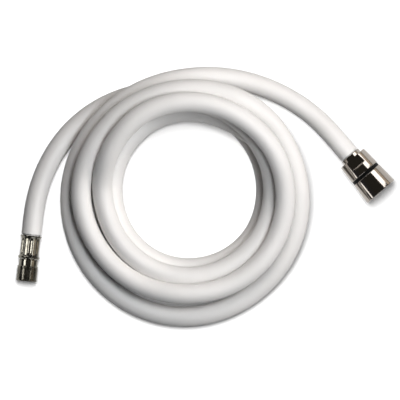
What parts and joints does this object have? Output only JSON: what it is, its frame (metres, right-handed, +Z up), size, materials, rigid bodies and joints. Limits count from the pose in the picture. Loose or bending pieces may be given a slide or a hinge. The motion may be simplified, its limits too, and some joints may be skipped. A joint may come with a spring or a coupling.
{
  "type": "flexible hose",
  "caption": "Coiled flexible plastic hose with a crimped ferrule on a threaded nipple and a tapered coupling whose nut swivels.",
  "frame": {"origin": "under the middle of the whole object, on the surface that it lies on", "axes": "+Z up from the surface; +X along the longest side of the coil and its tails, towards the coupling's tail; +Y towards the side where the tails leave the coil"},
  "size_m": [0.265, 0.1808, 0.0595],
  "materials": {
    "hose_plastic": "satin, smooth warm-white plastic",
    "chrome": "polished",
    "black_plastic": "matte",
    "rubber": "matte"
  },
  "bodies": {
    "hose_side": {"hose": "hose_plastic", "crimp_ferrule": "chrome", "threaded_nipple": "chrome", "crimp_collar": "chrome", "coupling_body": "chrome", "bearing_ring": "black_plastic", "hose_tail": "chrome"},
    "nut": {"swivel_nut": "chrome", "sealing_washer": "rubber"}
  },
  "joints": [
    {"name": "nut_swivel", "type": "hinge", "parent": "hose_side", "child": "nut", "pos_m": [0.11827, 0.01005, 0.0125], "axis": [0.6508, -0.7593, 0], "continuous": true}
  ]
}
